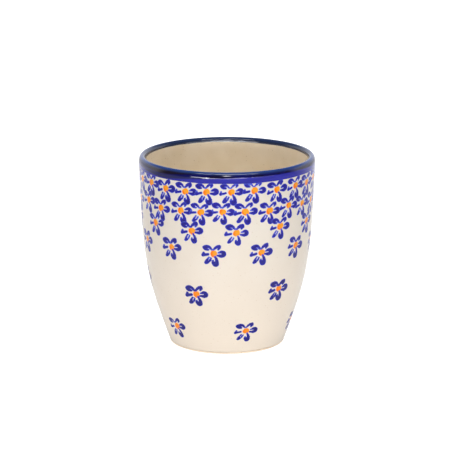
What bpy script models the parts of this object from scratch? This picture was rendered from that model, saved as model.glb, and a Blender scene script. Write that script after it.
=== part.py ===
"""Handleless stoneware mug: one thrown clay body and the fired glaze coats that cover it.

Each material layer is its own closed solid, turned about Z. Units are metres, +Z is up, and the
origin is the centre of the plane that the foot ring rests on.
"""

import math

import bpy
from mathutils import Vector

# Overall size
HEIGHT = 0.095
RIM_RADIUS = 0.044
LIP_FLARE = 0.0002  # how far the lip rolls out past the line of the wall
FLARE_START = 0.0875  # height where that roll begins

# Wall line: a cubic Bezier from the resting plane up to the lip, as (radius, height)
WALL_FOOT = Vector((0.0285, 0.0))
WALL_FOOT_HANDLE = Vector((0.0399, 0.0319))
WALL_LIP_HANDLE = Vector((0.0423, 0.0391))

# Clay and glaze
LIP_THICKNESS = 0.0036
FOOT_THICKNESS = 0.0046
FLOOR_HEIGHT = 0.0065
FLOOR_CORNER = 0.011  # height over the floor where the wall begins to turn into it
CORNER_HANDLE = 0.6  # how far the two handles of that turn reach towards the corner
GLAZE = 0.00035
GLAZE_GAP = 0.0001  # clearance between the coats, and between a coat and the clay

# Cobalt band over the lip
BAND_OUTSIDE = 0.0053
BAND_INSIDE = 0.0022

# Foot
GLAZE_LINE = 0.0011  # the outside glaze stops here, so that the foot is bare clay
FOOT_EDGE = 0.0009
RING_INNER_RADIUS = 0.0232
RECESS_RADIUS = 0.0218
RECESS_HEIGHT = 0.0018
UNDERSIDE_RADIUS = 0.0212

# Fineness of the turned profiles
TURN_STEPS = 64
WALL_POINTS = 9
BAND_POINTS = 4
LIP_POINTS = 7
CORNER_POINTS = 5
EDGE_POINTS = 4
MERGE = 1e-5

LIP_RADIUS = LIP_THICKNESS / 2
LIP_BASE = HEIGHT - LIP_RADIUS
BAND_EDGE = HEIGHT - BAND_OUTSIDE
LINER_EDGE = HEIGHT - BAND_INSIDE
TURN_TOP = FLOOR_HEIGHT + FLOOR_CORNER
COAT = GLAZE + GLAZE_GAP
WALL_LIP = Vector((RIM_RADIUS - LIP_FLARE, LIP_BASE))


def clear_scene():
    for old in list(bpy.data.objects):
        bpy.data.objects.remove(old, do_unlink=True)


def smooth(value):
    value = min(max(value, 0.0), 1.0)
    return value * value * (3 - 2 * value)


def bezier(start, start_handle, end_handle, end, t):
    s = 1 - t
    return s**3 * start + 3 * s * s * t * start_handle + 3 * s * t * t * end_handle + t**3 * end


def outer_radius(z):
    """Radius of the finished outside at this height."""
    low, high = 0.0, 1.0
    for _ in range(40):
        middle = (low + high) / 2
        if bezier(WALL_FOOT, WALL_FOOT_HANDLE, WALL_LIP_HANDLE, WALL_LIP, middle).y < z:
            low = middle
        else:
            high = middle
    wall = bezier(WALL_FOOT, WALL_FOOT_HANDLE, WALL_LIP_HANDLE, WALL_LIP, high).x
    return wall + LIP_FLARE * smooth((z - FLARE_START) / (LIP_BASE - FLARE_START))


def inner_radius(z):
    """Radius of the finished inside at this height, above the turn into the floor."""
    down = 1 - z / LIP_BASE
    return outer_radius(z) - LIP_THICKNESS - (FOOT_THICKNESS - LIP_THICKNESS) * down


def heights(start, end, count):
    return [start + (end - start) * i / (count - 1) for i in range(count)]


def outside(top, bottom, count=WALL_POINTS):
    return [Vector((outer_radius(z), z)) for z in heights(top, bottom, count)]


def inside(bottom, top, count=WALL_POINTS):
    return [Vector((inner_radius(z), z)) for z in heights(bottom, top, count)]


def arc(centre, radius, start_deg, end_deg, count):
    angles = [math.radians(a) for a in heights(start_deg, end_deg, count)]
    return [centre + radius * Vector((math.cos(a), math.sin(a))) for a in angles]


def floor_and_turn():
    """From the axis along the floor, round the turn, to where the inner wall starts."""
    wall = Vector((inner_radius(TURN_TOP), TURN_TOP))
    lean = inner_radius(TURN_TOP + FLOOR_CORNER) - wall.x
    corner = Vector((wall.x - lean, FLOOR_HEIGHT))
    floor_end = corner - Vector((FLOOR_CORNER, 0))
    handles = [end.lerp(corner, CORNER_HANDLE) for end in (floor_end, wall)]
    turn = [bezier(floor_end, *handles, wall, t) for t in heights(0.0, 1.0, CORNER_POINTS)]
    return [Vector((0.0, FLOOR_HEIGHT)), *turn]


def lip():
    """Half round over the top, from the inside to the outside."""
    return arc(Vector((RIM_RADIUS - LIP_RADIUS, LIP_BASE)), LIP_RADIUS, 180, 0, LIP_POINTS)


def inset(points, distance):
    """The same line moved into the material, square to each of its stretches."""
    normals = []
    for a, b in zip(points, points[1:]):
        along = (b - a).normalized()
        normals.append(Vector((-along.y, along.x)))
    moved = []
    for point, before, after in zip(points, [normals[0], *normals], [*normals, normals[-1]]):
        outward = (before + after).normalized()
        moved.append(point - outward * distance / outward.dot(after))
    return moved


def material(name, colour, roughness):
    made = bpy.data.materials.new(name)
    made.use_nodes = True
    shader = made.node_tree.nodes["Principled BSDF"]
    shader.inputs["Base Color"].default_value = (*colour, 1.0)
    shader.inputs["Roughness"].default_value = roughness
    shader.inputs["Metallic"].default_value = 0.0
    made.diffuse_color = (*colour, 1.0)
    return made


def turned(name, profile, finish, thickness=None):
    """A profile turned about Z. With a thickness it is a skin that grows inwards from the profile."""
    mesh = bpy.data.meshes.new(name)
    points = [(p.x, 0.0, p.y) for p in profile]
    mesh.from_pydata(points, [(i, i + 1) for i in range(len(points) - 1)], [])
    mesh.materials.append(finish)
    piece = bpy.data.objects.new(name, mesh)
    screw = piece.modifiers.new("turn", "SCREW")
    screw.steps = TURN_STEPS
    screw.render_steps = TURN_STEPS
    screw.use_merge_vertices = True
    screw.merge_threshold = MERGE
    screw.use_smooth_shade = True
    if thickness:
        skin = piece.modifiers.new("skin", "SOLIDIFY")
        skin.thickness = thickness
        skin.offset = -1.0
        skin.use_even_offset = True
    return piece


def stoneware_body():
    """The clay: its outline lies under the coats, and comes to the surface only at the foot."""
    under_glaze = [
        *floor_and_turn(),
        *inside(TURN_TOP, LINER_EDGE)[1:],
        *lip(),
        *outside(LIP_BASE, BAND_EDGE, BAND_POINTS)[1:],
        *outside(BAND_EDGE, GLAZE_LINE)[1:],
    ]
    bare_top = GLAZE_LINE - GLAZE_GAP
    ring_outer_radius = outer_radius(FOOT_EDGE) - FOOT_EDGE
    foot_edge = arc(Vector((ring_outer_radius, FOOT_EDGE)), FOOT_EDGE, 0, -90, EDGE_POINTS)
    recess_ceiling = RECESS_HEIGHT + COAT
    profile = [
        *inset(under_glaze, COAT)[:-1],
        Vector((outer_radius(bare_top) - COAT, bare_top)),
        Vector((outer_radius(bare_top), bare_top)),
        *foot_edge,
        Vector((RING_INNER_RADIUS, 0.0)),
        Vector((RECESS_RADIUS, recess_ceiling)),
        Vector((0.0, recess_ceiling)),
    ]
    profile[0].x = 0.0
    return turned("stoneware_body", profile, material("bare_stoneware", (0.61, 0.49, 0.37), 0.75))


def outer_glaze():
    """Clear coat over the painted outside, from the cobalt band down to the bare foot."""
    profile = outside(BAND_EDGE - GLAZE_GAP, GLAZE_LINE)
    return turned("outer_glaze", profile, material("clear_glaze", (0.86, 0.80, 0.71), 0.16), GLAZE)


def rim_glaze_band():
    """Cobalt coat over the lip, reaching further down outside than inside."""
    profile = [
        *inside(LINER_EDGE, LIP_BASE, 2)[:-1],
        *lip(),
        *outside(LIP_BASE, BAND_EDGE, BAND_POINTS)[1:],
    ]
    finish = material("cobalt_glaze", (0.035, 0.035, 0.32), 0.12)
    return turned("rim_glaze_band", profile, finish, GLAZE)


def inner_glaze():
    """Lining of the drinking space, from the centre of the floor up to the cobalt band."""
    profile = [
        *floor_and_turn(),
        *inside(TURN_TOP, LINER_EDGE - GLAZE_GAP)[1:],
    ]
    return turned("inner_glaze", profile, material("liner_glaze", (0.60, 0.50, 0.38), 0.18), GLAZE)


def underside_glaze():
    """Disc of glaze in the recess, inside the bare foot ring."""
    profile = [Vector((UNDERSIDE_RADIUS, RECESS_HEIGHT)), Vector((0.0, RECESS_HEIGHT))]
    finish = material("underside_glaze", (0.78, 0.70, 0.58), 0.2)
    return turned("underside_glaze", profile, finish, GLAZE)


def main():
    clear_scene()
    parts = bpy.data.collections.new("stoneware_mug")
    bpy.context.scene.collection.children.link(parts)
    mug = bpy.data.objects.new("mug", None)
    parts.objects.link(mug)
    for make in (stoneware_body, outer_glaze, rim_glaze_band, inner_glaze, underside_glaze):
        piece = make()
        parts.objects.link(piece)
        piece.parent = mug


main()
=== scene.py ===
"""Looks of the handleless stoneware mug: glossy glaze over clay, a cobalt rim, stamped flowers."""

import math
import random

import bpy
import numpy as np
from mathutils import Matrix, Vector, noise
from mathutils.geometry import delaunay_2d_cdt


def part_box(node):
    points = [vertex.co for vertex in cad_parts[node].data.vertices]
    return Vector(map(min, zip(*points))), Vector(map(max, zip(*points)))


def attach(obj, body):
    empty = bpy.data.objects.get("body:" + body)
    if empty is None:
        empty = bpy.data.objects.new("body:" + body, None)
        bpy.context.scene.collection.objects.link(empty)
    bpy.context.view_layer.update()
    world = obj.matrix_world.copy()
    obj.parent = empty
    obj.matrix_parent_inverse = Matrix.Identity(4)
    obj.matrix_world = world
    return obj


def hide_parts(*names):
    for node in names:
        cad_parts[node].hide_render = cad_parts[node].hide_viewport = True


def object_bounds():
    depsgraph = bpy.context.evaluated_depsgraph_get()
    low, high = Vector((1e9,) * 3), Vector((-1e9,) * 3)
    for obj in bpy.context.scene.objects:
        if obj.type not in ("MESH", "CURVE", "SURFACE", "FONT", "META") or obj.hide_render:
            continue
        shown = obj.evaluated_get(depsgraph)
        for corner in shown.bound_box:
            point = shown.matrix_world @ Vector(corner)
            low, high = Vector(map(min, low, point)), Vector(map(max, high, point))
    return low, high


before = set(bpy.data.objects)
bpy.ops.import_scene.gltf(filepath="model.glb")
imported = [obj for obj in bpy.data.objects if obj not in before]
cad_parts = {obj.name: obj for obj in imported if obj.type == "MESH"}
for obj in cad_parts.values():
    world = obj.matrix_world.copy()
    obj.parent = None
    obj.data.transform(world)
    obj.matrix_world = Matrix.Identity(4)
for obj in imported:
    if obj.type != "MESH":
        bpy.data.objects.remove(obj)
CAD_LOW, CAD_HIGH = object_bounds()

MM = 0.001

# Sizes read from the frame
HEIGHT = CAD_HIGH.z
RIM_RADIUS = CAD_HIGH.x
BAND_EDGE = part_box("rim_glaze_band")[0].z
GLAZE_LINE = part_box("outer_glaze")[0].z
LINER_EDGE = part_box("inner_glaze")[1].z
RECESS_HEIGHT, UNDERSIDE_TOP = (corner.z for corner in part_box("underside_glaze"))
UNDERSIDE_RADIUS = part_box("underside_glaze")[1].x
GLAZE = UNDERSIDE_TOP - RECESS_HEIGHT
FLOOR_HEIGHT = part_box("inner_glaze")[0].z + GLAZE

# Shape of the mug, as in the CAD model except at the lip: it rolls out half as far past the line of
# the wall, and its outer half rounds over more slowly than its inner half
WALL_LIP_RADIUS = RIM_RADIUS - 0.2 * MM
LIP_FLARE = 0.1 * MM
FLARE_START = 87.5 * MM
WALL_FOOT = (28.5 * MM, 0.0)
WALL_FOOT_HANDLE = (39.9 * MM, 31.9 * MM)
WALL_LIP_HANDLE = (42.3 * MM, 39.1 * MM)
LIP_THICKNESS = 3.6 * MM
FOOT_THICKNESS = 4.6 * MM
FLOOR_CORNER = 11 * MM
CORNER_HANDLE = 0.6
FOOT_EDGE = 0.9 * MM
RING_INNER_EDGE = 0.4 * MM
RING_INNER_RADIUS = 23.2 * MM
RECESS_RADIUS = 21.8 * MM
GLAZE_GAP = 0.1 * MM
LIP_RADIUS = LIP_THICKNESS / 2
LIP_BASE = HEIGHT - LIP_RADIUS
LIP_SHOULDER = 3.3 * MM
LIP_SHOULDER_BASE = HEIGHT - LIP_SHOULDER
COAT = GLAZE + GLAZE_GAP

# Fineness of the meshes
TURN_STEPS = 384
WALL_SAMPLES = 4001
WALL_POINTS = 72
FLOOR_POINTS = 12
ARC_POINTS = 25
SHOULDER_POINTS = 49
BAND_POINTS = 21
BAND_INNER_POINTS = 7
LAP_POINTS = 5
LAP_INNER_POINTS = 4
UNDER_BAND_POINTS = 9
UNDER_BAND_INNER_POINTS = 3
EDGE_POINTS = 9
RING_EDGE_POINTS = 6
SHARP_DEG = 40  # edges that turn more than this stay sharp
PATCH_SHARP_DEG = 30

# The cobalt coat laps over its neighbours, which reach this far under it, and stands this far out
LAP_OUTSIDE = 1.2 * MM
LAP_INSIDE = 0.36 * MM
LAP_CLEARANCE = 0.003 * MM
BAND_PROUD = 0.03 * MM
BAND_SWELL = 0.4 * MM  # height inside the lip over which it comes to stand out that far
BAND_TIP = ((-0.3, -0.6), (-0.9, -0.6))  # rounding of its lower edge, in parts of BAND_PROUD

# The band was dipped twice: the second coat ends in a low ridge, and its colour is much deeper
SECOND_DIP = 92.5 * MM
RIDGE_HEIGHT = 0.02 * MM
RIDGE_WIDTH = 0.22 * MM

# Where the second dip ran down further: angle and width in degrees, depth in millimetres
DIP_RUNS = ((-136, 26, 2.4), (75, 30, 1.6))

# The outer coat stops a little above the CAD model's line, in a slight bead with a rounded edge
FOOT_LINE_RISE = 0.2 * MM
BEAD_HEIGHT = 0.05 * MM
BEAD_WIDTH = 0.7 * MM
BEAD_EDGE = ((0.75, -0.65), (0.0, -0.9), (-0.75, -0.5))  # in parts of half the coat's thickness


# ---------------------------------------------------------------- profile of the mug

def smooth(value):
    value = np.clip(value, 0.0, 1.0)
    return value * value * (3 - 2 * value)


def bezier(points, t):
    start, start_handle, end_handle, end = (np.array(p) for p in points)
    t = np.asarray(t)[:, None]
    s = 1 - t
    return s**3 * start + 3 * s * s * t * start_handle + 3 * s * t * t * end_handle + t**3 * end


WALL_LINE = [WALL_FOOT, WALL_FOOT_HANDLE, WALL_LIP_HANDLE, (WALL_LIP_RADIUS, LIP_BASE)]
WALL_R, WALL_Z = bezier(WALL_LINE, np.linspace(0, 1, WALL_SAMPLES)).T
WALL_LENGTH = np.concatenate([[0], np.cumsum(np.hypot(np.diff(WALL_R), np.diff(WALL_Z)))])


def outer_radius(z):
    roll = LIP_FLARE * smooth((z - FLARE_START) / (LIP_BASE - FLARE_START))
    return np.interp(z, WALL_Z, WALL_R) + roll


def inner_radius(z):
    return outer_radius(z) - LIP_THICKNESS - (FOOT_THICKNESS - LIP_THICKNESS) * (1 - z / LIP_BASE)


def line(radius_at, start, end, count):
    z = np.linspace(start, end, count)
    return np.column_stack([radius_at(z), z])


def arc(centre, radius, start_deg, end_deg, count):
    a = np.radians(np.linspace(start_deg, end_deg, count))
    return np.array(centre) + radius * np.column_stack([np.cos(a), np.sin(a)])


def floor_and_turn():
    """From the axis along the floor and round the turn to the foot of the inner wall."""
    top = FLOOR_HEIGHT + FLOOR_CORNER
    wall = np.array([inner_radius(top), top])
    lean = inner_radius(top + FLOOR_CORNER) - wall[0]
    corner = np.array([wall[0] - lean, FLOOR_HEIGHT])
    floor_end = corner - [FLOOR_CORNER, 0]
    handles = [end + (corner - end) * CORNER_HANDLE for end in (floor_end, wall)]
    turn = bezier([floor_end, *handles, wall], np.linspace(0, 1, ARC_POINTS))
    across = np.linspace(0, floor_end[0], FLOOR_POINTS)
    floor = np.column_stack([across, np.full(FLOOR_POINTS, FLOOR_HEIGHT)])
    return np.vstack([floor[:-1], turn])


def lip():
    """Over the top from the inside to the outside: a quarter circle, then a taller quarter ellipse."""
    crest = outer_radius(LIP_BASE) - LIP_RADIUS
    inner = arc((crest, LIP_BASE), LIP_RADIUS, 180, 90, ARC_POINTS)
    outer = arc((0, 0), 1.0, 90, 0, SHOULDER_POINTS)[1:]
    reach = outer_radius(LIP_SHOULDER_BASE) - crest
    return np.vstack([inner, outer * [reach, LIP_SHOULDER] + [crest, LIP_SHOULDER_BASE]])


def inset(points, distance):
    """The same line moved into the material."""
    along = np.gradient(points, axis=0)
    along /= np.linalg.norm(along, axis=1)[:, None]
    return points - distance * np.column_stack([-along[:, 1], along[:, 0]])


# ---------------------------------------------------------------- meshes

def new_object(name, vertices, faces, material, sharp_deg=SHARP_DEG):
    mesh = bpy.data.meshes.new(name)
    mesh.from_pydata(vertices.tolist(), [], faces)
    mesh.materials.append(material)
    mesh.shade_smooth()
    mesh.set_sharp_from_angle(angle=math.radians(sharp_deg))
    made = bpy.data.objects.new(name, mesh)
    bpy.context.scene.collection.objects.link(made)
    return made


def set_attribute(piece, name, values):
    """Gives each point of the mesh a number that its material reads."""
    attribute = piece.data.attributes.new(name, "FLOAT", "POINT")
    attribute.data.foreach_set("value", values.astype(np.float32))


def turned(name, profile_at, material, closed):
    """A solid turned about Z whose profile may change with the angle.

    A profile that isn't closed starts and ends on the axis.
    """
    angles = np.linspace(0, 2 * math.pi, TURN_STEPS, endpoint=False)
    rings = np.array([profile_at(a) for a in angles])
    if not closed:
        poles = rings[0, [0, -1]]
        rings = rings[:, 1:-1]
    count = rings.shape[1]
    r, z = rings[..., 0], rings[..., 1]
    x, y = r * np.cos(angles)[:, None], r * np.sin(angles)[:, None]
    vertices = np.stack([x, y, z], axis=-1).reshape(-1, 3)
    faces = []
    for s in range(TURN_STEPS):
        a, b = s * count, (s + 1) % TURN_STEPS * count
        for p in range(count if closed else count - 1):
            q = (p + 1) % count
            faces.append((a + p, a + q, b + q, b + p))
    if not closed:
        first, last = len(vertices), len(vertices) + 1
        vertices = np.vstack([vertices, [[0, 0, poles[0][1]], [0, 0, poles[1][1]]]])
        for s in range(TURN_STEPS):
            a, b = s * count, (s + 1) % TURN_STEPS * count
            faces.append((first, a, b))
            faces.append((a + count - 1, last, b + count - 1))
    return new_object(name, vertices, faces, material)


def wave(seed, terms, size):
    """A closed, gently irregular line round the mug: a function of the angle."""
    draw = random.Random(seed)
    parts = [(n, draw.uniform(0.4, 1.0) / math.sqrt(n), draw.uniform(0, 2 * math.pi)) for n in terms]
    total = sum(share for _, share, _ in parts)

    def value_at(angle):
        return size * sum(share * np.sin(n * angle + start) for n, share, start in parts) / total

    return value_at


# How the edges of the coats wander up and down, and how much the ridge of the second dip varies
band_outside = wave(11, (2, 3, 5, 9, 14, 22, 31), 0.35 * MM)
band_inside = wave(12, (2, 3, 7, 12, 19, 27, 41), 0.22 * MM)
dip_wave = wave(14, (3, 5, 9, 16, 33), 0.2 * MM)
ridge_wave = wave(15, (5, 11, 23, 37, 53), 0.6)
foot_line = wave(13, (2, 4, 7, 13, 21), 0.18 * MM)


def dip_line(angle):
    """How far the edge of the second dip strays from its height."""
    runs = 0
    for where, width, depth in DIP_RUNS:
        away = (np.degrees(angle) - where + 180) % 360 - 180
        runs = runs + depth * MM * np.exp(-((away / width) ** 2))
    return dip_wave(angle) - runs


# ---------------------------------------------------------------- materials

class Nodes:
    """A node tree, and the helpers that the materials and the world share."""

    def __init__(self, tree):
        self.tree = tree

    def node(self, kind, inputs=None, **settings):
        made = self.tree.nodes.new(kind)
        for key, value in settings.items():
            setattr(made, key, value)
        for key, value in (inputs or {}).items():
            if isinstance(value, bpy.types.NodeSocket):
                self.tree.links.new(value, made.inputs[key])
            else:
                made.inputs[key].default_value = value
        return made

    def ramp(self, value, low, high, start=0.0, end=1.0):
        """value from low..high mapped smoothly onto start..end."""
        inputs = {0: value, 1: low, 2: high, 3: start, 4: end}
        return self.node("ShaderNodeMapRange", inputs, interpolation_type="SMOOTHSTEP").outputs[0]

    def times(self, first, second):
        return self.node("ShaderNodeMath", {0: first, 1: second}, operation="MULTIPLY").outputs[0]


class Material(Nodes):
    """A Principled material, and the helpers that the finishes share."""

    def __init__(self, name, **settings):
        self.made = bpy.data.materials.new(name)
        self.made.use_nodes = True
        super().__init__(self.made.node_tree)
        self.shader = self.tree.nodes["Principled BSDF"]
        for socket, value in settings.items():
            self.shader.inputs[socket].default_value = value
        self.place = self.node("ShaderNodeTexCoord").outputs["Object"]

    def noise(self, scale, detail, roughness=0.5, stretch=(1, 1, 1)):
        where = self.node("ShaderNodeMapping", {"Vector": self.place, "Scale": stretch}).outputs[0]
        inputs = {"Vector": where, "Scale": scale, "Detail": detail, "Roughness": roughness}
        return self.node("ShaderNodeTexNoise", inputs).outputs["Fac"]

    def mix(self, factor, first, second):
        inputs = {0: factor, 6: first, 7: second}
        for key in (6, 7):
            if not isinstance(inputs[key], bpy.types.NodeSocket):
                inputs[key] = (*inputs[key], 1.0)
        return self.node("ShaderNodeMix", inputs, data_type="RGBA").outputs[2]

    def height(self):
        return self.node("ShaderNodeSeparateXYZ", {0: self.place}).outputs["Z"]

    def attribute(self, name):
        return self.node("ShaderNodeAttribute", attribute_name=name).outputs["Fac"]

    def connect(self, output, socket):
        self.tree.links.new(output, self.shader.inputs[socket])

    def colour(self, output):
        self.connect(output, "Base Color")

    def uneven_gloss(self, smoothest, roughest, scale, detail=2):
        """Roughness that wanders between two values."""
        self.connect(self.ramp(self.noise(scale, detail), 0.3, 0.7, smoothest, roughest), "Roughness")

    def bump(self, heights, distance, strength):
        inputs = {"Height": heights, "Distance": distance, "Strength": strength}
        self.connect(self.node("ShaderNodeBump", inputs).outputs[0], "Normal")


def srgb(r, g, b):
    """Linear colour from 0-255 display values."""
    shares = [v / 255 for v in (r, g, b)]
    return tuple(v / 12.92 if v <= 0.04045 else ((v + 0.055) / 1.055) ** 2.4 for v in shares)


def add_specks(m, colour, speck_colour, scale, size, amount):
    """Small iron specks in the clay that show through the glaze."""
    cells = m.node("ShaderNodeTexVoronoi", {"Vector": m.place, "Scale": scale}, feature="F1")
    speck = m.ramp(cells.outputs["Distance"], size, size * 0.35)
    pick = m.ramp(m.node("ShaderNodeSeparateColor", {0: cells.outputs["Color"]}).outputs[0], 0.78, 0.98)
    return m.mix(m.times(m.times(speck, pick), amount), colour, speck_colour)


def clear_finish(m):
    """The surface of the clear glaze, over the cream ground and over the inks."""
    m.uneven_gloss(0.13, 0.2, 300)
    m.bump(m.noise(260, 2), 0.02 * MM, 0.5)


def outside_glaze():
    m = Material("clear_glaze_over_cream")
    warm = m.mix(m.ramp(m.height(), 0.0, HEIGHT), srgb(232, 218, 201), srgb(229, 221, 210))
    mottled = m.mix(m.ramp(m.noise(70, 4), 0.35, 0.65, 0.0, 0.4), warm, srgb(227, 214, 198))
    m.colour(add_specks(m, mottled, srgb(196, 168, 134), 900, 0.3, 0.4))
    clear_finish(m)
    return m.made


def cobalt_glaze():
    """Blue where it was dipped once, darker above the edge of the second dip, greyer on the inner side
    of the lip, and a lighter grey-blue on the crest, which is a painted reflection of the light from
    above.
    """
    m = Material("cobalt_glaze", IOR=1.65)
    over = m.attribute("over_dip")
    streak = m.noise(55, 4, 0.6, stretch=(1, 1, 9))
    flat = m.mix(m.ramp(streak, 0.35, 0.7), srgb(26, 25, 146), srgb(38, 37, 164))
    dark = m.mix(m.ramp(m.noise(48, 2), 0.45, 0.6), srgb(12, 13, 84), srgb(16, 10, 46))
    second = m.mix(m.ramp(over, -0.35, 0.4), flat, dark)
    pooled = m.mix(m.ramp(over, 1.7, 2.6), second, srgb(20, 10, 30))
    level = m.node("ShaderNodeVectorMath", {0: m.place, 1: (1, 1, 0)}, operation="MULTIPLY").outputs[0]
    radius = m.node("ShaderNodeVectorMath", {0: level}, operation="LENGTH").outputs["Value"]
    inwards, middle = (RIM_RADIUS - share * LIP_THICKNESS for share in (0.7, 0.5))
    inner_side = m.ramp(radius, inwards, middle, 1.0, 0.0)
    # Painted reflection: the crest of the lip is coloured a lighter grey-blue, standing in for the light
    # from above that it mirrors
    crest = m.ramp(m.height(), HEIGHT - 1.7 * MM, HEIGHT - 0.2 * MM)
    crest_painted_reflection = m.mix(crest, pooled, srgb(31, 53, 105))
    over_lip = m.mix(inner_side, crest_painted_reflection, srgb(25, 38, 68))
    thin = m.ramp(m.height(), LINER_EDGE - 0.1 * MM, LINER_EDGE + 0.5 * MM, 0.7, 0.0)
    m.colour(m.mix(m.times(thin, inner_side), over_lip, srgb(88, 98, 122)))
    m.uneven_gloss(0.06, 0.12, 200)
    m.bump(m.noise(240, 2), 0.02 * MM, 0.5)
    return m.made


def liner_glaze():
    m = Material("liner_glaze")
    # Painted light: the liner is coloured lighter towards the rim, standing in for the light that
    # reaches the upper inside wall
    base = m.mix(m.ramp(m.height(), 0.6 * HEIGHT, HEIGHT), srgb(208, 193, 165), srgb(219, 207, 188))
    mottled = m.mix(m.ramp(m.noise(80, 4), 0.35, 0.65, 0.0, 0.5), base, srgb(207, 191, 164))
    m.colour(add_specks(m, mottled, srgb(140, 112, 82), 900, 0.3, 0.5))
    m.uneven_gloss(0.12, 0.18, 300)
    m.bump(m.noise(40, 2, 0.5, stretch=(0.4, 0.4, 14)), 0.05 * MM, 0.4)
    return m.made


def bare_clay():
    m = Material("bare_clay")
    base = m.mix(m.ramp(m.noise(180, 6, 0.6), 0.3, 0.7), srgb(243, 226, 203), srgb(234, 212, 186))
    m.colour(add_specks(m, base, srgb(120, 88, 62), 1100, 0.32, 0.5))
    m.uneven_gloss(0.7, 0.9, 700, 3)
    m.bump(m.noise(1500, 5, 0.65), 0.08 * MM, 0.8)
    return m.made


def recess_glaze():
    m = Material("underside_glaze")
    base = m.mix(m.ramp(m.noise(90, 4), 0.3, 0.7), srgb(232, 216, 190), srgb(220, 200, 170))
    m.colour(add_specks(m, base, srgb(130, 98, 66), 900, 0.35, 0.6))
    m.uneven_gloss(0.16, 0.26, 250)
    m.bump(m.noise(200, 2), 0.03 * MM, 0.5)
    return m.made


PALER_UPWARDS = (20 * MM, 75 * MM)  # heights between which the inks grow paler


def petal_ink():
    """Blue that is paler along its edges and patchily deeper where the ink lies thick."""
    m = Material("petal_blue_under_glaze")
    ink = m.attribute("ink")
    high = m.ramp(m.height(), *PALER_UPWARDS)
    edge = m.mix(high, srgb(56, 64, 180), srgb(78, 92, 208))
    body = m.mix(high, srgb(22, 20, 128), srgb(36, 34, 158))
    thin = m.mix(m.ramp(ink, 0.0, 0.45), edge, body)
    thick = m.ramp(m.times(ink, m.noise(600, 3)), 0.3, 0.6)
    m.colour(m.mix(thick, thin, m.mix(high, srgb(18, 10, 96), srgb(26, 16, 122))))
    clear_finish(m)
    return m.made


def centre_ink():
    m = Material("centre_orange_under_glaze")
    inputs = {0: m.attribute("ink"), 1: m.noise(500, 2)}
    patchy = m.node("ShaderNodeMath", inputs, operation="ADD").outputs[0]
    pale = m.mix(m.ramp(m.height(), *PALER_UPWARDS), srgb(247, 136, 4), srgb(251, 161, 32))
    m.colour(m.mix(m.ramp(patchy, 0.95, 1.35), pale, srgb(252, 120, 0)))
    clear_finish(m)
    return m.made


# ---------------------------------------------------------------- clay and coats

def make_clay():
    """The clay, which comes to the surface only at the foot."""
    inner_wall = line(inner_radius, FLOOR_HEIGHT + FLOOR_CORNER, LIP_BASE, WALL_POINTS)
    outer_wall = line(outer_radius, LIP_SHOULDER_BASE, GLAZE_LINE, WALL_POINTS)
    covered = np.vstack([floor_and_turn(), inner_wall[1:-1], lip(), outer_wall[1:]])
    hidden = inset(covered, COAT)
    hidden[0, 0] = 0.0
    shoulder = GLAZE_LINE - GLAZE_GAP
    ring_edge = outer_radius(FOOT_EDGE) - FOOT_EDGE
    ring_inner = (RING_INNER_RADIUS + RING_INNER_EDGE, RING_INNER_EDGE)
    ceiling = UNDERSIDE_TOP + GLAZE_GAP
    foot = np.vstack([
        [[hidden[-1, 0], shoulder], [outer_radius(shoulder), shoulder]],
        arc((ring_edge, FOOT_EDGE), FOOT_EDGE, 0, -90, EDGE_POINTS),
        arc(ring_inner, RING_INNER_EDGE, -90, -150, RING_EDGE_POINTS),
        [[RECESS_RADIUS, ceiling]],
        [[0.0, ceiling]],
    ])
    profile = np.vstack([hidden[:-1:2], foot])  # half the points are enough under the coats
    return turned("clay_body", lambda angle: profile, bare_clay(), closed=False)


def make_outer_coat():
    """From under the cobalt lap down to the bare foot, with a bead where the glaze stopped running."""

    def profile_at(angle):
        bottom = GLAZE_LINE + foot_line(angle) + FOOT_LINE_RISE
        z = np.linspace(BAND_EDGE + LAP_OUTSIDE, bottom, WALL_POINTS)
        bead = BEAD_HEIGHT * np.exp(-(((z - bottom) / BEAD_WIDTH) ** 2))
        outside = np.column_stack([outer_radius(z) + bead, z])
        end = outside[-1] - [GLAZE / 2, 0]
        edge = end + GLAZE / 2 * np.array(BEAD_EDGE)
        inside = np.column_stack([outer_radius(z[::-1]) - GLAZE, z[::-1]])
        return np.vstack([outside, edge, inside])

    return turned("outer_coat", profile_at, outside_glaze(), closed=True)


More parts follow.
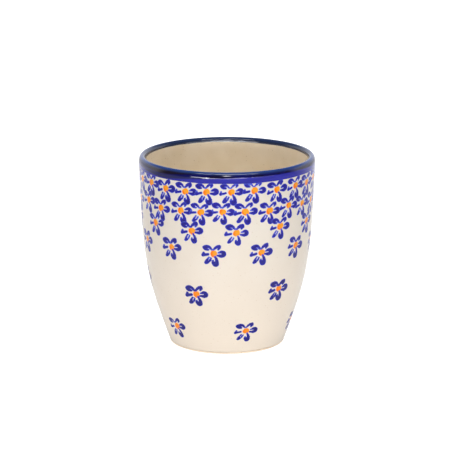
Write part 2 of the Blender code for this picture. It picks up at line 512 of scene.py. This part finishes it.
def make_rim_coat():
    """Over the lip. Its edges lap thinly over the coats next to it, along lines that wander a little."""
    lap_out, lap_in = BAND_EDGE + LAP_OUTSIDE, LINER_EDGE + LAP_INSIDE
    covered = np.vstack([
        line(inner_radius, lap_in, LIP_BASE, UNDER_BAND_INNER_POINTS)[:-1],
        lip(),
        line(outer_radius, LIP_SHOULDER_BASE, lap_out, UNDER_BAND_POINTS)[1:],
    ])
    under = inset(covered, GLAZE)[::-1]
    under[0, 1] += GLAZE_GAP
    under[-1, 1] += GLAZE_GAP

    def profile_at(angle):
        low_in = LINER_EDGE + band_inside(angle)
        low_out = BAND_EDGE + band_outside(angle)
        inner = line(inner_radius, low_in, LIP_BASE, BAND_INNER_POINTS)[:-1]
        inner[:, 0] -= BAND_PROUD * smooth((LIP_BASE - inner[:, 1]) / BAND_SWELL)
        outer = np.vstack([lip(), line(outer_radius, LIP_SHOULDER_BASE, low_out, BAND_POINTS)[1:]])
        z = outer[ARC_POINTS:, 1]
        over_dip = (z - SECOND_DIP - dip_line(angle)) / RIDGE_WIDTH
        ridge = RIDGE_HEIGHT * (1 + ridge_wave(angle)) * np.exp(-(over_dip**2))
        outer[ARC_POINTS:, 0] += ridge + BAND_PROUD * smooth((HEIGHT - z) / LIP_SHOULDER)
        tip = outer[-1] + BAND_PROUD * np.array(BAND_TIP)
        tongue_out = line(outer_radius, low_out, lap_out, LAP_POINTS) + [LAP_CLEARANCE, 0]
        tongue_in = line(inner_radius, lap_in, low_in, LAP_INNER_POINTS) - [LAP_CLEARANCE, 0]
        return np.vstack([inner, outer, tip, tongue_out, under, tongue_in])

    made = turned("rim_coat", profile_at, cobalt_glaze(), closed=True)
    x, y, z = np.array([v.co[:] for v in made.data.vertices]).T
    over = z - SECOND_DIP - dip_line(np.arctan2(y, x))
    set_attribute(made, "over_dip", over / MM)
    return made


def make_inner_coat():
    """Lining of the drinking space, from the centre of the floor to under the cobalt lap."""
    top = LINER_EDGE + LAP_INSIDE
    wall = line(inner_radius, FLOOR_HEIGHT + FLOOR_CORNER, top, WALL_POINTS)[1:]
    face = np.vstack([floor_and_turn(), wall])
    back = inset(face, GLAZE)[::-1]
    back[-1, 0] = 0.0
    profile = np.vstack([face, back])
    return turned("inner_coat", lambda angle: profile, liner_glaze(), closed=False)


def make_underside_coat():
    """Disc of glaze in the recess, inside the bare foot ring."""
    round_edge = (UNDERSIDE_RADIUS - GLAZE / 2, RECESS_HEIGHT + GLAZE / 2)
    rim = arc(round_edge, GLAZE / 2, 90, -90, EDGE_POINTS)
    profile = np.vstack([[[0.0, UNDERSIDE_TOP]], rim, [[0.0, RECESS_HEIGHT]]])
    return turned("underside_coat", lambda angle: profile, recess_glaze(), closed=False)


# ---------------------------------------------------------------- stamped flowers

# Everything about a stamp is in millimetres. Strokes of one flower: (x, y, half width) along each stroke
PETALS = (
    ((-5.0, 3.0, 0.45), (-4.1, 2.85, 1.15), (-3.4, 2.95, 1.15)),
    ((-3.5, 2.0, 0.55), (-2.65, 1.85, 0.36)),
    ((-3.3, 3.5, 0.6), (-2.5, 3.4, 0.5), (-1.8, 2.95, 0.4), (-1.0, 2.05, 0.32)),
    ((-0.15, 2.0, 0.3), (0.8, 3.05, 0.42), (1.7, 3.75, 0.48), (2.65, 4.05, 0.48)),
    ((2.8, 3.9, 0.52), (2.85, 3.3, 0.48), (2.2, 2.3, 0.32)),
    ((3.9, 0.1, 1.4), (4.35, 0.15, 1.6)),
    ((3.8, 1.0, 0.7), (2.45, 0.5, 0.36)),
    ((3.8, -1.0, 0.7), (1.95, -0.75, 0.36)),
    ((0.65, -4.6, 1.4), (0.95, -4.95, 1.5)),
    ((1.6, -3.8, 0.75), (1.25, -2.7, 0.5), (0.65, -1.5, 0.34)),
    ((-0.15, -4.2, 0.5), (-0.15, -3.8, 0.4)),
    ((-2.3, -2.2, 0.36), (-3.2, -3.7, 0.5), (-3.75, -4.8, 0.6)),
    ((-1.35, -2.5, 0.32), (-1.95, -3.5, 0.42), (-3.05, -4.6, 0.58)),
    ((-4.95, 0.2, 0.34), (-5.35, -1.0, 0.48)),
    ((-5.3, -1.1, 0.5), (-2.75, -0.45, 0.46)),
)
SLITS = (
    ((-2.0, 2.35, 0.2), (-3.0, 2.65, 0.18)),
    ((1.8, -0.05, 0.3), (3.6, 0.1, 0.26)),
    ((0.25, -2.4, 0.36), (0.5, -3.7, 0.28)),
    ((-1.75, -2.2, 0.22), (-2.55, -3.6, 0.2)),
)
SLIT_FILL = 0.1  # how much the ink runs into the slits between strokes
INK_BLEND = 0.14  # how far the ink rounds the corners where strokes meet
RAGGED = (0.07, 0.8)  # uneven edge of the ink: how far it strays, and over what length
WAVY = (0.10, 2.6)  # the same, over a longer stretch
FULL_DEPTH = 0.6  # distance from the edge where the ink reaches its full depth
FAR = 6  # strokes count as no further away than this

# The flat grid that a flower is cut from, and the wider one whose points fill it
REACH = 7.0
CELL = 0.2
INNER_CELL = 0.8
INNER_MARGIN = 0.22  # the filling points keep this far from the edge
NEARLY_ZERO = 1e-4  # no value is closer to zero, so that no cut falls on a grid point
SAME_POINT = 1e-5
LAST_CELL = 1.001  # reading stops just short of the last grid point


def stroke_field(x, y, strokes):
    """Distance to the nearest stroke, negative inside, softly joined where strokes meet."""
    total = np.zeros_like(x)
    for points in strokes:
        for (x0, y0, w0), (x1, y1, w1) in zip(points, points[1:]):
            dx, dy = x1 - x0, y1 - y0
            t = np.clip(((x - x0) * dx + (y - y0) * dy) / (dx * dx + dy * dy), 0, 1)
            away = np.hypot(x - x0 - t * dx, y - y0 - t * dy) - (w0 + t * (w1 - w0))
            total += np.exp(-np.clip(away, -FAR, FAR) / INK_BLEND)
    return -INK_BLEND * np.log(total)


def patchiness(x, y, offset, depth, size):
    """Smooth noise of this depth, whose patches are about this size."""
    flat = [noise.noise(Vector((a / size, b / size, offset))) for a, b in zip(x.ravel(), y.ravel())]
    return depth * np.array(flat).reshape(x.shape)


def contour(field, axis):
    """Points and edges of the zero line of a grid of values, cut cell by cell."""
    points, index, edges = [], {}, []

    def crossing(a, b):
        key = (a, b) if a < b else (b, a)
        if key not in index:
            t = field[key[0]] / (field[key[0]] - field[key[1]])
            (j0, i0), (j1, i1) = key
            index[key] = len(points)
            points.append((axis[i0] + t * (axis[i1] - axis[i0]), axis[j0] + t * (axis[j1] - axis[j0])))
        return index[key]

    inside = field < 0
    mixed = inside[:-1, :-1].astype(int) + inside[1:, :-1] + inside[:-1, 1:] + inside[1:, 1:]
    for j, i in np.argwhere((mixed > 0) & (mixed < 4)).tolist():
        corners = [(j, i), (j, i + 1), (j + 1, i + 1), (j + 1, i)]
        sides = zip(corners, corners[1:] + corners[:1])
        cut = [crossing(a, b) for a, b in sides if inside[a] != inside[b]]
        if len(cut) == 4 and inside[corners[0]] == (sum(field[c] for c in corners) < 0):
            cut = [cut[3], *cut[:3]]
        for k in range(0, len(cut), 2):
            edges.append((cut[k], cut[k + 1]))
    return points, edges


def read_grid(field, axis, x, y):
    """Values of a grid between its points."""
    u, v = (np.clip((np.asarray(at) - axis[0]) / CELL, 0, len(axis) - LAST_CELL) for at in (x, y))
    i, j = u.astype(int), v.astype(int)
    a, b = u - i, v - j
    return ((field[j, i] * (1 - a) + field[j, i + 1] * a) * (1 - b)
            + (field[j + 1, i] * (1 - a) + field[j + 1, i + 1] * a) * b)


def flat_flower(turn, ink, lean, seed, clip_at):
    """The petals of one flower in their own plane: points, triangles, and the ink's depth at each point.

    The stamp is pressed a little harder towards the side that lean points at, and leaves more ink there.
    """
    axis = np.arange(-REACH, REACH + CELL / 2, CELL)
    x, y = np.meshgrid(axis, axis)
    c, s = math.cos(turn), math.sin(turn)
    u, v = x * c + y * s, y * c - x * s
    petals = stroke_field(u, v, PETALS) - ink - (lean[0] * u + lean[1] * v) / REACH
    field = np.maximum(petals, -stroke_field(u, v, SLITS) - SLIT_FILL)
    field += patchiness(u, v, seed, *RAGGED) + patchiness(u, v, seed + 50, *WAVY)
    field = np.maximum(field, clip_at(x, y))
    field[np.abs(field) < NEARLY_ZERO] = NEARLY_ZERO
    points, edges = contour(field, axis)
    spread = np.arange(-REACH, REACH, INNER_CELL)
    gx, gy = (g.ravel() for g in np.meshgrid(spread, spread))
    keep = read_grid(field, axis, gx, gy) < -INNER_MARGIN
    points = [Vector(p) for p in [*points, *zip(gx[keep].tolist(), gy[keep].tolist())]]
    verts, _, faces, *_ = delaunay_2d_cdt(points, edges, [], 0, SAME_POINT)
    flat = np.array([v[:] for v in verts])
    faces = np.array([f for f in faces if len(f) == 3])
    middles = flat[faces].mean(axis=1)
    faces = faces[read_grid(field, axis, middles[:, 0], middles[:, 1]) < 0]
    depth = np.clip(-read_grid(field, axis, flat[:, 0], flat[:, 1]) / FULL_DEPTH, 0, 1)
    return flat, faces, depth


def on_wall(flat, angle, height, lift):
    """Points of a flat stamp laid on the outside of the mug and lifted off it, in metres."""
    along = np.interp(height, WALL_Z, WALL_LENGTH) + flat[:, 1] * MM
    z = np.interp(along, WALL_LENGTH, WALL_Z)
    r = outer_radius(z)
    near = 0.1 * MM
    lean = np.arctan2(outer_radius(z + near) - outer_radius(z - near), 2 * near)
    theta = angle + flat[:, 0] * MM / r
    r = r + lift * np.cos(lean)
    return np.column_stack([r * np.sin(theta), -r * np.cos(theta), z - lift * np.sin(lean)])


class Sheets:
    """Collects thin closed patches of colour into one mesh."""

    def __init__(self):
        self.vertices, self.faces, self.depth = [], [], []

    def add(self, flat, faces, depth, angle, height, lift, thickness):
        """A patch between two liftings over the wall, with a wall round its edge."""
        top = sum(len(v) for v in self.vertices)
        under = top + len(flat)
        for away in (lift + thickness, lift):
            self.vertices.append(on_wall(flat, angle, height, away))
            self.depth.append(depth)
        directed = set()
        for a, b, c in faces.tolist():
            self.faces += [(top + a, top + b, top + c), (under + c, under + b, under + a)]
            directed |= {(a, b), (b, c), (c, a)}
        for a, b in sorted(directed):
            if (b, a) not in directed:
                self.faces.append((top + b, top + a, under + a, under + b))

    def object(self, name, material):
        made = new_object(name, np.vstack(self.vertices), self.faces, material, PATCH_SHARP_DEG)
        set_attribute(made, "ink", np.concatenate(self.depth))
        return made


DOT_POINTS = 36
DOT_RINGS = (1.0, 0.66, 0.33)
DOT_WAVES = ((2, 0.05), (3, 0.03), (5, 0.02))  # waves round its edge, and their share of the radius
PALE_SIDE = (-0.3, 0.9)  # direction in which the ink gets thinner, in radians


def dot(radius, seed):
    """A slightly uneven round dot: points, triangles, and the ink's depth at each point."""
    draw = random.Random(seed)
    a = np.linspace(0, 2 * math.pi, DOT_POINTS, endpoint=False)
    waves = [share * np.sin(n * a + draw.uniform(0, 2 * math.pi)) for n, share in DOT_WAVES]
    edge = radius * sum(waves, 1)
    rings = [edge * share for share in DOT_RINGS]
    centre = [[0.0, 0.0]]
    flat = np.vstack([*(np.column_stack([r * np.cos(a), r * np.sin(a)]) for r in rings), centre])
    faces = []
    innermost = len(rings) - 1
    for ring in range(innermost):
        for k in range(DOT_POINTS):
            o, p = ring * DOT_POINTS + k, ring * DOT_POINTS + (k + 1) % DOT_POINTS
            faces += [(o, p, p + DOT_POINTS), (o, p + DOT_POINTS, o + DOT_POINTS)]
    start, middle = innermost * DOT_POINTS, len(rings) * DOT_POINTS
    faces += [(start + k, start + (k + 1) % DOT_POINTS, middle) for k in range(DOT_POINTS)]
    pale = draw.uniform(*PALE_SIDE)
    depth = 0.5 - 0.5 * (flat[:, 0] * math.cos(pale) + flat[:, 1] * math.sin(pale)) / radius
    return flat, np.array(faces), depth


# Rows from the top down: flowers round the mug, height in mm, angle of the first in degrees, how
# unevenly they are spaced in degrees, how far the ink spread in mm, seed
ROWS = (
    (24, 85.5, -57.0, 1.1, 0.17, 8173604),
    (24, 75.5, -62.0, 1.1, 0.16, 8330404),
    (12, 65.5, -53.5, 1.1, 0.17, 241310),
    (12, 55.0, -68.0, 1.1, 0.25, 454561),
    (6, 33.5, -21.0, 1.6, 0.32, 12968),
    (6, 13.0, -45.5, 1.6, 0.16, 299455),
)

# How the flowers of a row differ from each other, in millimetres where nothing else is said
UNEVEN_HEIGHT = 0.55
UNEVEN_TURN_DEG = 4
UNEVEN_INK = 0.05
UNEVEN_PRESSURE = 0.07
DOT_RADII = (1.62, 1.88)
DOT_SLIDE = 0.12

# How the patches lie on the glaze, in millimetres. Neighbouring flowers are lifted differently, so that
# no two surfaces coincide where they overlap
DOT_LIFT = 0.003
DOT_THICKNESS = 0.005
PETAL_LIFT = 0.010
LIFT_STEP = 0.008
PETAL_THICKNESS = 0.006
UNDER_BAND = 0.05  # how far the petals reach under the edge of the cobalt band


def make_flowers(petal_material, centre_material):
    for number, (count, height, first, uneven, spread, seed) in enumerate(ROWS, start=1):
        draw = random.Random(seed)
        places = [(draw.gauss(0, uneven), draw.gauss(0, UNEVEN_HEIGHT)) for _ in range(count)]
        petals, centres = Sheets(), Sheets()
        for k, (angle_slip, height_slip) in enumerate(places):
            angle = math.radians(first + 360 * k / count + angle_slip)
            z = (height + height_slip) * MM
            turn = math.radians(draw.gauss(0, UNEVEN_TURN_DEG))
            ink = spread + draw.uniform(-UNEVEN_INK, UNEVEN_INK)
            lean = (draw.gauss(0, UNEVEN_PRESSURE), draw.gauss(0, UNEVEN_PRESSURE))
            radius = draw.uniform(*DOT_RADII)
            slide = (draw.gauss(0, DOT_SLIDE), draw.gauss(0, DOT_SLIDE))
            lift = PETAL_LIFT + LIFT_STEP * (2 * (number % 2) + k % 2)

            def clip_at(x, y, angle=angle, z=z):
                edge = BAND_EDGE + band_outside(angle + x * MM / outer_radius(z) - math.pi / 2)
                return (z - edge) / MM + y - UNDER_BAND

            flat, faces, depth = flat_flower(turn, ink, lean, number * 100 + k, clip_at)
            petals.add(flat, faces, depth, angle, z, lift * MM, PETAL_THICKNESS * MM)
            flat, faces, depth = dot(radius, number * 100 + k)
            centres.add(flat + slide, faces, depth, angle, z, DOT_LIFT * MM, DOT_THICKNESS * MM)
        yield petals.object(f"petals_row_{number}", petal_material), "petal_blue"
        yield centres.object(f"centres_row_{number}", centre_material), "centre_orange"


# ---------------------------------------------------------------- stage

CAMERA_DISTANCE = 1.2
CAMERA_ELEVATION = math.radians(14.35)
LENS = 191.7
SENSOR = 36
FRAME_SHIFT = (-0.0044, 0.0485)


def make_camera():
    data = bpy.data.cameras.new("camera")
    data.lens = LENS
    data.sensor_width = SENSOR
    data.shift_x, data.shift_y = FRAME_SHIFT
    camera = bpy.data.objects.new("camera", data)
    bpy.context.scene.collection.objects.link(camera)
    middle = Vector((0, 0, HEIGHT / 2))
    back = Vector((0, -math.cos(CAMERA_ELEVATION), math.sin(CAMERA_ELEVATION)))
    camera.location = middle + CAMERA_DISTANCE * back
    camera.rotation_euler = (-back).to_track_quat("-Z", "Y").to_euler()
    bpy.context.scene.camera = camera


RIM_CENTRE = Vector((0, 0, HEIGHT))


def softbox(name, azimuth, elevation, distance, size, radiance, shines, mirrored):
    """A rectangular light aimed at the rim. Azimuth 0 is the side the camera is on."""
    a, e = math.radians(azimuth), math.radians(elevation)
    away = Vector((math.sin(a) * math.cos(e), -math.cos(a) * math.cos(e), math.sin(e)))
    data = bpy.data.lights.new(name, "AREA")
    data.shape = "RECTANGLE"
    data.size, data.size_y = size
    data.energy = radiance * math.pi * size[0] * size[1]
    light = bpy.data.objects.new(name, data)
    light.location = RIM_CENTRE + away * distance
    light.rotation_euler = (-away).to_track_quat("-Z", "Y").to_euler()
    light.visible_camera = False
    light.visible_diffuse = shines
    light.visible_glossy = mirrored
    bpy.context.scene.collection.objects.link(light)


# Name, azimuth and elevation in degrees, distance, width and height in metres, radiance, whether it
# lights the matt colours, and whether the glaze mirrors it
SOFTBOXES = (
    ("strip_left", -30, 2, 1.5, (0.85, 0.12), 10.5, True, True),
    ("strip_middle", 8, 2, 1.5, (0.85, 0.12), 12.5, True, True),
    ("strip_right", 46, 2, 1.5, (0.85, 0.12), 6.8, True, True),
    ("low_strip", 3, 2.5, 1.5, (1.7, 0.05), 20.0, False, True),
    ("lamp", 0, 27, 1.5, (0.22, 0.075), 34.0, False, True),
    ("high_strip", 0, 54, 1.3, (1.6, 0.08), 15.0, False, True),
    ("overhead_fill", 0, 84, 1.3, (1.3, 1.3), 4.8, True, False),
    ("front_fill", 0, 45, 1.3, (1.6, 0.5), 2.0, True, False),
    ("back_fill", 180, 47, 1.3, (1.9, 0.8), 6.7, True, False),
)

# Brightness of the room, by direction from the mug: Y is 1 straight behind it, Z is 1 straight above
WALLS = 0.1
DARK_FRONT = 0.03
FRONT_FADE = (-0.75, -0.05)  # Y between which the dark front gives way to the walls
BACKDROP = 0.95  # the sheet behind the mug, which the glaze mirrors
BACKDROP_SIDES = (-0.1, 0.3)  # Y between which it begins
BACKDROP_TOP = (0.35, 0.6)  # Z between which it ends
ROOM_SEEN = 1.05  # plain white for the camera

# The table: white paper that glows, and so lights the mug from below
FLOOR_HALF = 3.0
FLOOR_DROP = 0.05 * MM  # keeps it off the foot
FLOOR_PAPER = 0.2
FLOOR_ROUGHNESS = 0.9
FLOOR_GLOW = 0.84
MIRRORED_GLOW = 0.36  # the same glow as the glaze mirrors it
GLOW_REACH = (0.12, 0.3)  # metres from the mug's axis between which that glow fades out in front
BACK_GLOW = 0.6
BACK_EDGE = (0.02, 0.32)  # metres behind the axis between which the glow turns into BACK_GLOW


def make_world():
    """Dim walls, a dark room behind the camera, and a white backdrop that only the glaze mirrors."""
    world = bpy.data.worlds.new("studio")
    world.use_nodes = True
    room = Nodes(world.node_tree)
    direction = room.node("ShaderNodeTexCoord").outputs["Generated"]
    axes = room.node("ShaderNodeSeparateXYZ", {0: direction}).outputs
    rays = room.node("ShaderNodeLightPath").outputs
    walls = room.ramp(axes["Y"], *FRONT_FADE, DARK_FRONT, WALLS)
    backdrop = room.ramp(axes["Y"], *BACKDROP_SIDES, walls, BACKDROP)
    mirrored = room.ramp(axes["Z"], *BACKDROP_TOP, backdrop, walls)
    around = room.ramp(rays["Is Glossy Ray"], 0.0, 1.0, walls, mirrored)
    strength = room.ramp(rays["Is Camera Ray"], 0.0, 1.0, around, ROOM_SEEN)
    background = room.tree.nodes["Background"]
    background.inputs["Color"].default_value = (1, 1, 1, 1)
    room.tree.links.new(strength, background.inputs["Strength"])
    bpy.context.scene.world = world


def table_paper():
    """White paper that glows near the mug and behind it, and is plain white for the camera."""
    paper = Material("white_paper", Roughness=FLOOR_ROUGHNESS)
    paper.shader.inputs["Base Color"].default_value = (FLOOR_PAPER, FLOOR_PAPER, FLOOR_PAPER, 1)
    paper.shader.inputs["Emission Color"].default_value = (1, 1, 1, 1)
    away = paper.node("ShaderNodeVectorMath", {0: paper.place}, operation="LENGTH").outputs["Value"]
    depth = paper.node("ShaderNodeSeparateXYZ", {0: paper.place}).outputs["Y"]
    rays = paper.node("ShaderNodeLightPath").outputs
    near = paper.ramp(rays["Is Glossy Ray"], 0.0, 1.0, FLOOR_GLOW, MIRRORED_GLOW)
    in_front = paper.ramp(away, *GLOW_REACH, near, 0.0)
    glow = paper.ramp(depth, *BACK_EDGE, in_front, BACK_GLOW)
    paper.connect(paper.ramp(rays["Is Camera Ray"], 0.0, 1.0, glow, 1.0), "Emission Strength")
    return paper.made


def make_stage():
    corners = [(x * FLOOR_HALF, y * FLOOR_HALF, 0) for x, y in ((-1, -1), (1, -1), (1, 1), (-1, 1))]
    mesh = bpy.data.meshes.new("floor")
    mesh.from_pydata(corners, [], [(0, 1, 2, 3)])
    mesh.materials.append(table_paper())
    floor = bpy.data.objects.new("floor", mesh)
    floor.location.z = -FLOOR_DROP
    bpy.context.scene.collection.objects.link(floor)
    for settings in SOFTBOXES:
        softbox(*settings)
    make_world()
    bpy.context.scene.view_settings.view_transform = "Standard"


# ---------------------------------------------------------------- assembly

def main():
    pieces = [
        (make_clay(), "stoneware_body", "bare_stoneware"),
        (make_outer_coat(), "outer_glaze", "clear_glaze"),
        (make_rim_coat(), "rim_glaze_band", "cobalt_glaze"),
        (make_inner_coat(), "inner_glaze", "liner_glaze"),
        (make_underside_coat(), "underside_glaze", "underside_glaze"),
    ]
    for piece, node, slot in pieces:
        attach(piece, "root")
        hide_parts(node)
    for piece, slot in make_flowers(petal_ink(), centre_ink()):
        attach(piece, "root")
    make_stage()
    make_camera()


main()
